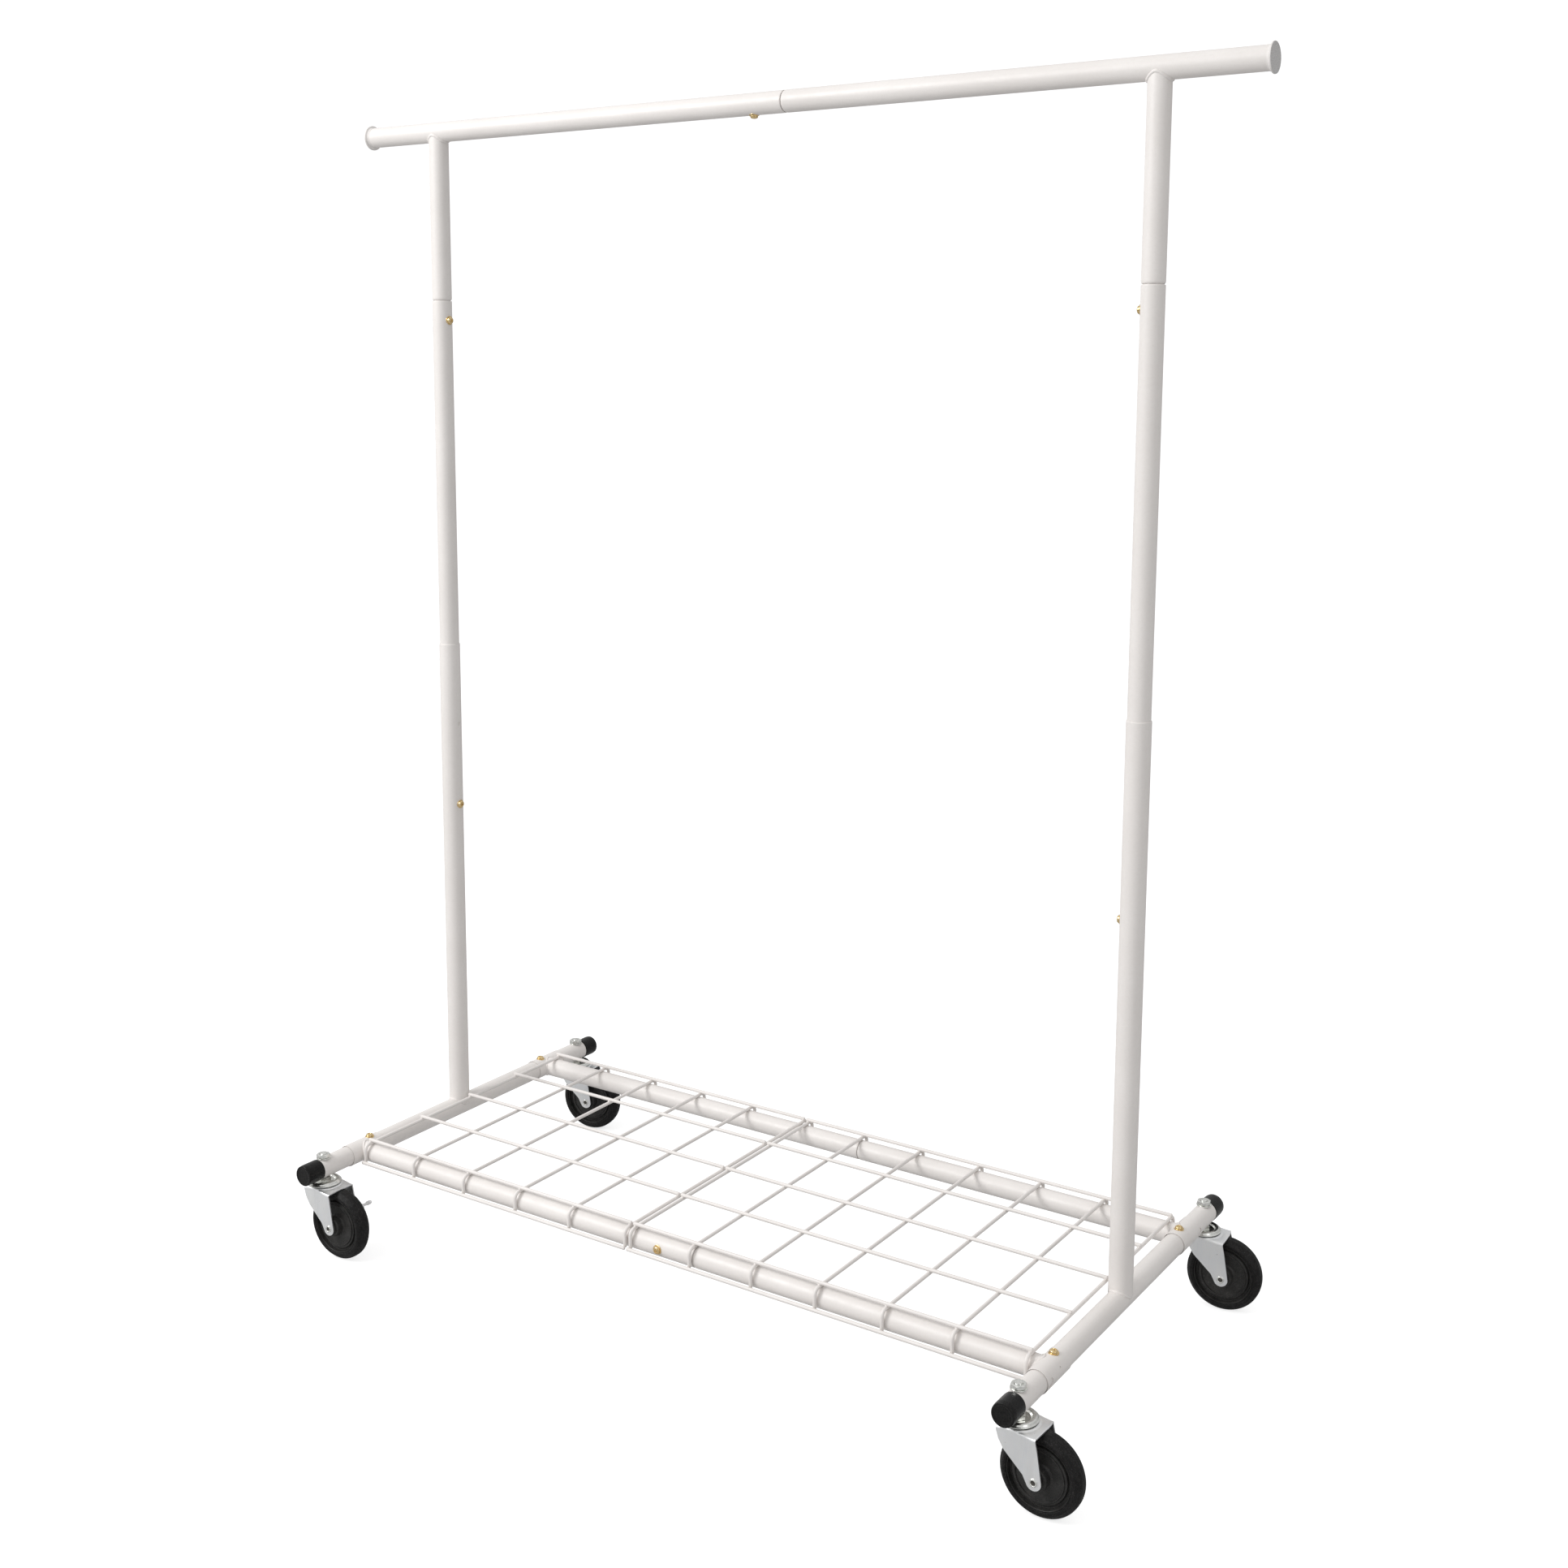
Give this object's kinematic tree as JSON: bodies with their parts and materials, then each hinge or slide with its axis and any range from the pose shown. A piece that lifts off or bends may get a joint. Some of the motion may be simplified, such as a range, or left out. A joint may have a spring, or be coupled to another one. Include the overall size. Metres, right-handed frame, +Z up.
{
  "type": "garment rail",
  "caption": "Free-standing clothes rail on swivel casters, with telescopic posts that raise the hanging bar and a low wire shelf over the base rails.",
  "frame": {"origin": "on the floor, midway between the two posts and midway front to rear", "axes": "+X along the hanging rail, +Z up, -Y the front with the visible brake"},
  "size_m": [1.372, 0.64, 1.6175],
  "materials": {
    "white_paint": "smooth semi-gloss powder coat, warm white",
    "bright_zinc": "bright zinc plated pressed steel",
    "yellow_zinc": "yellow zinc plated steel",
    "black_rubber": "matt black moulded rubber",
    "black_plastic": "matt black moulded plastic",
    "black_tyre": "matt black rubber tread",
    "white_plastic": "moulded white plastic"
  },
  "bodies": {
    "base": {"side_tube_left": "white_paint", "side_tube_right": "white_paint", "lower_post_left": "white_paint", "lower_post_right": "white_paint", "front_rail_left": "white_paint", "front_rail_right": "white_paint", "rear_rail_left": "white_paint", "rear_rail_right": "white_paint", "sleeve_front_left": "white_paint", "sleeve_front_right": "white_paint", "sleeve_rear_left": "white_paint", "sleeve_rear_right": "white_paint", "wire_shelf_left": "white_paint", "wire_shelf_right": "white_paint", "side_tube_caps": "black_rubber", "post_foot_welds": "white_paint", "sleeve_welds": "white_paint", "base_screws": "yellow_zinc", "locking_screws": "yellow_zinc", "stem_washers": "bright_zinc", "stem_top_nuts": "bright_zinc", "stem_jam_nuts": "bright_zinc", "caster_stems": "bright_zinc", "upper_races": "bright_zinc"},
    "hanging_frame": {"top_rail_left": "white_paint", "top_rail_right": "white_paint", "upper_post_left": "white_paint", "upper_post_right": "white_paint", "middle_post_left": "white_paint", "middle_post_right": "white_paint", "rail_end_caps": "white_plastic", "rail_tee_welds": "white_paint", "frame_screws": "yellow_zinc"},
    "caster_front_left": {"fork_fl": "bright_zinc", "axle_fl": "bright_zinc", "bush_fl": "bright_zinc"},
    "wheel_front_left": {"core_fl": "black_plastic", "tyre_fl": "black_tyre"},
    "caster_front_right": {"fork_fr": "bright_zinc", "axle_fr": "bright_zinc", "bush_fr": "bright_zinc"},
    "wheel_front_right": {"core_fr": "black_plastic", "tyre_fr": "black_tyre"},
    "caster_rear_left": {"fork_rl": "bright_zinc", "axle_rl": "bright_zinc", "bush_rl": "bright_zinc"},
    "wheel_rear_left": {"core_rl": "black_plastic", "tyre_rl": "black_tyre"},
    "caster_rear_right": {"fork_rr": "bright_zinc", "axle_rr": "bright_zinc", "bush_rr": "bright_zinc"},
    "wheel_rear_right": {"core_rr": "black_plastic", "tyre_rr": "black_tyre"},
    "brake": {"brake_lever_fl": "bright_zinc"}
  },
  "joints": [
    {"name": "height_adjust", "type": "slide", "parent": "base", "child": "hanging_frame", "axis": [0, 0, 1], "range_m": [0, 0.124]},
    {"name": "swivel_front_left", "type": "hinge", "parent": "base", "child": "caster_front_left", "pos_m": [-0.553, -0.281, 0.09], "axis": [0, 0, 1], "continuous": true},
    {"name": "roll_front_left", "type": "hinge", "parent": "caster_front_left", "child": "wheel_front_left", "pos_m": [-0.5212, -0.281, 0.0508], "axis": [0, 1, 0], "continuous": true},
    {"name": "swivel_front_right", "type": "hinge", "parent": "base", "child": "caster_front_right", "pos_m": [0.553, -0.281, 0.09], "axis": [0, 0, 1], "continuous": true},
    {"name": "roll_front_right", "type": "hinge", "parent": "caster_front_right", "child": "wheel_front_right", "pos_m": [0.5848, -0.281, 0.0508], "axis": [0, 1, 0], "continuous": true},
    {"name": "swivel_rear_left", "type": "hinge", "parent": "base", "child": "caster_rear_left", "pos_m": [-0.553, 0.281, 0.09], "axis": [0, 0, 1], "continuous": true},
    {"name": "roll_rear_left", "type": "hinge", "parent": "caster_rear_left", "child": "wheel_rear_left", "pos_m": [-0.52165, 0.28636, 0.0508], "axis": [-0.1685, 0.9857, 0], "continuous": true},
    {"name": "swivel_rear_right", "type": "hinge", "parent": "base", "child": "caster_rear_right", "pos_m": [0.553, 0.281, 0.09], "axis": [0, 0, 1], "continuous": true},
    {"name": "roll_rear_right", "type": "hinge", "parent": "caster_rear_right", "child": "wheel_rear_right", "pos_m": [0.58458, 0.28471, 0.0508], "axis": [-0.1167, 0.9932, 0], "continuous": true},
    {"name": "brake_press", "type": "hinge", "parent": "caster_front_left", "child": "brake", "pos_m": [-0.5212, -0.281, 0.0508], "axis": [0, 1, 0], "range_deg": [0, 20]}
  ]
}
